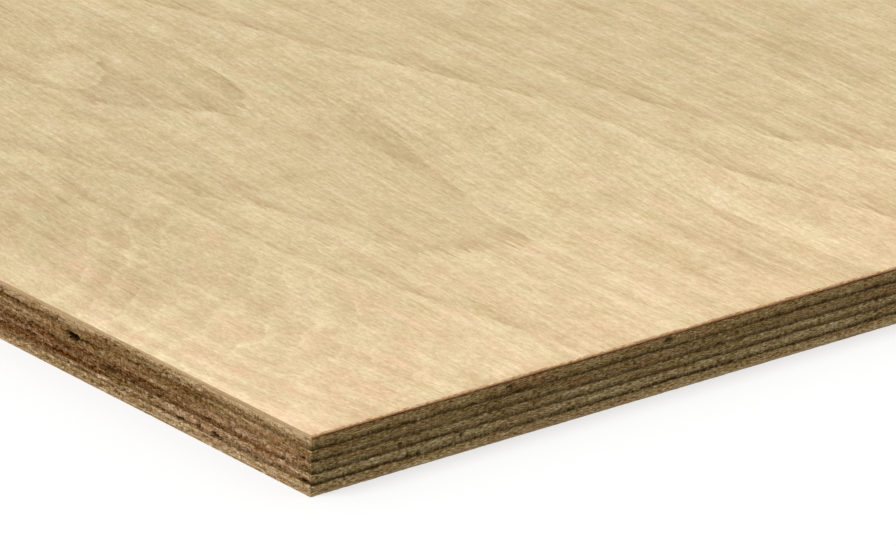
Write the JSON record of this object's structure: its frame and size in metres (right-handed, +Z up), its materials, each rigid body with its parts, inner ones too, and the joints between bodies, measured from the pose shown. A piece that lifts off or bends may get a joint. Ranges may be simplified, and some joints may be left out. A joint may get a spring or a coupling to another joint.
{
  "type": "plywood sheet",
  "caption": "Full rectangular sheet of plywood with a pale rotary-cut face and bare sawn edges that show the cross-laid plies.",
  "frame": {"origin": "middle of the underside", "axes": "+X along the length and the face grain, +Y across the width, +Z up through the thickness to the face"},
  "size_m": [2.44, 1.22, 0.018],
  "materials": {
    "face_veneer": "bare, fine sanded",
    "back_veneer": "bare, sanded",
    "crossband": "bare, rough sawn edge",
    "core": "bare, rough sawn edge"
  },
  "bodies": {
    "root": {"back_veneer": "back_veneer", "lower_crossband": "crossband", "lower_core": "core", "middle_crossband": "crossband", "upper_core": "core", "upper_crossband": "crossband", "face_veneer": "face_veneer"}
  },
  "joints": []
}
